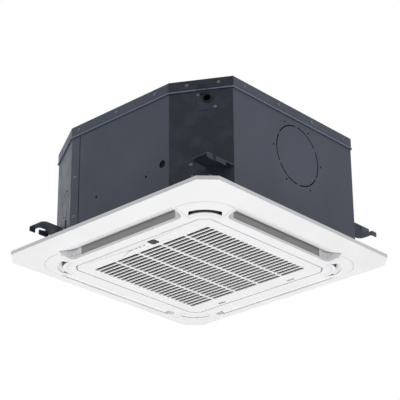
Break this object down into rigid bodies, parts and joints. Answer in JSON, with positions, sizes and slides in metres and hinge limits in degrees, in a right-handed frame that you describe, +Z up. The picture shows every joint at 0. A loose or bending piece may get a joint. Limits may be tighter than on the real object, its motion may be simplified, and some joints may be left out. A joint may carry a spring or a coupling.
{
  "type": "ceiling cassette air conditioner",
  "caption": "Square ceiling cassette air conditioner: dark sheet metal body with cut corners over a white panel with a slotted intake grille and an air outlet along each side",
  "frame": {"origin": "middle of the four hanger bolt seats, at the underside of the bracket plates", "axes": "+Z up, the indicator side of the panel faces -Y, the round duct knockout faces +X"},
  "size_m": [0.654, 0.65, 0.3255],
  "materials": {
    "casing_paint": "dark slate, satin, slightly mottled",
    "foam": "closed foam",
    "liner_foam": "dark closed foam",
    "screw_steel": "zinc plated",
    "screw_black": "black plated",
    "sheet_zinc": "galvanised sheet",
    "black_rubber": "matte",
    "copper": "bare copper",
    "brass_nut": "machined",
    "fin_aluminium": "finned",
    "motor_steel": "satin",
    "white_plastic": "smooth white",
    "duct_plastic": "grey",
    "dark_plastic": "near black",
    "window_plastic": "polished",
    "lens_plastic": "translucent",
    "board_green": "solder mask"
  },
  "bodies": {
    "unit": {"top_cover": "casing_paint", "casing_front": "casing_paint", "casing_rear": "casing_paint", "casing_liner": "liner_foam", "top_liner": "liner_foam", "hanger_brackets": "casing_paint", "cover_screws": "screw_black", "casing_screws": "screw_black", "cable_plate": "casing_paint", "cable_grommet": "black_rubber", "cable_tie": "black_rubber", "pipe_plate": "sheet_zinc", "gas_pipe": "copper", "liquid_pipe": "copper", "flare_nuts": "brass_nut", "drain_port": "dark_plastic", "drain_hose": "black_rubber", "coil_fins": "fin_aluminium", "coil_tubes": "copper", "coil_end_plates": "sheet_zinc", "drain_pan": "foam", "drain_plug": "black_rubber", "drain_pump": "white_plastic", "float_stem": "white_plastic", "bell_mouth": "dark_plastic", "fan_motor": "motor_steel", "motor_plate": "sheet_zinc", "motor_mounts": "black_rubber", "control_box": "sheet_zinc", "control_lid": "sheet_zinc", "main_board": "board_green", "terminal_block": "dark_plastic", "fan_capacitor": "white_plastic", "panel_gasket": "liner_foam", "panel_frame": "white_plastic", "mouth_walls": "white_plastic", "duct_front": "duct_plastic", "duct_right": "duct_plastic", "duct_rear": "duct_plastic", "duct_left": "duct_plastic", "louver_motors": "motor_steel", "corner_covers": "white_plastic", "corner_vents": "dark_plastic", "panel_screws": "screw_steel"},
    "fan": {"fan_impeller": "dark_plastic", "blade_ring": "dark_plastic", "fan_ring": "dark_plastic", "motor_shaft": "screw_steel", "fan_nut": "screw_steel"},
    "pump_rotor": {"pump_impeller": "duct_plastic"},
    "float_ring": {"float": "white_plastic"},
    "front_vane": {"louver_front": "white_plastic"},
    "right_vane": {"louver_right": "white_plastic"},
    "rear_vane": {"louver_rear": "white_plastic"},
    "left_vane": {"louver_left": "white_plastic"},
    "grille": {"intake_grille": "white_plastic", "air_filter": "dark_plastic", "receiver_window": "window_plastic", "indicator_lenses": "lens_plastic", "display_board": "board_green"},
    "left_catch": {"latch_left": "white_plastic"},
    "right_catch": {"latch_right": "white_plastic"}
  },
  "joints": [
    {"name": "fan_spin", "type": "hinge", "parent": "unit", "child": "fan", "pos_m": [0, 0, 0.13], "axis": [0, 0, 1], "continuous": true},
    {"name": "pump_spin", "type": "hinge", "parent": "unit", "child": "pump_rotor", "pos_m": [-0.172, 0.188, 0], "axis": [0, 0, 1], "continuous": true},
    {"name": "float_rise", "type": "slide", "parent": "unit", "child": "float_ring", "axis": [0, 0, 1], "range_m": [0, 0.01]},
    {"name": "front_louver_turn", "type": "hinge", "parent": "unit", "child": "front_vane", "pos_m": [0, -0.2902, -0.0828], "axis": [1, 0, 0], "range_deg": [-43, 25]},
    {"name": "right_louver_turn", "type": "hinge", "parent": "unit", "child": "right_vane", "pos_m": [0.2742, -0.016, -0.0828], "axis": [0, 1, 0], "range_deg": [-43, 25]},
    {"name": "rear_louver_turn", "type": "hinge", "parent": "unit", "child": "rear_vane", "pos_m": [0, 0.2582, -0.0828], "axis": [-1, 0, 0], "range_deg": [-43, 25]},
    {"name": "left_louver_turn", "type": "hinge", "parent": "unit", "child": "left_vane", "pos_m": [-0.2742, -0.016, -0.0828], "axis": [0, -1, 0], "range_deg": [-43, 25]},
    {"name": "grille_swing", "type": "hinge", "parent": "unit", "child": "grille", "pos_m": [0, -0.2325, -0.097], "axis": [-1, 0, 0], "range_deg": [0, 90]},
    {"name": "left_latch_slide", "type": "slide", "parent": "grille", "child": "left_catch", "axis": [0, 1, 0], "range_m": [0, 0.005]},
    {"name": "right_latch_slide", "type": "slide", "parent": "grille", "child": "right_catch", "axis": [0, 1, 0], "range_m": [0, 0.005]}
  ]
}
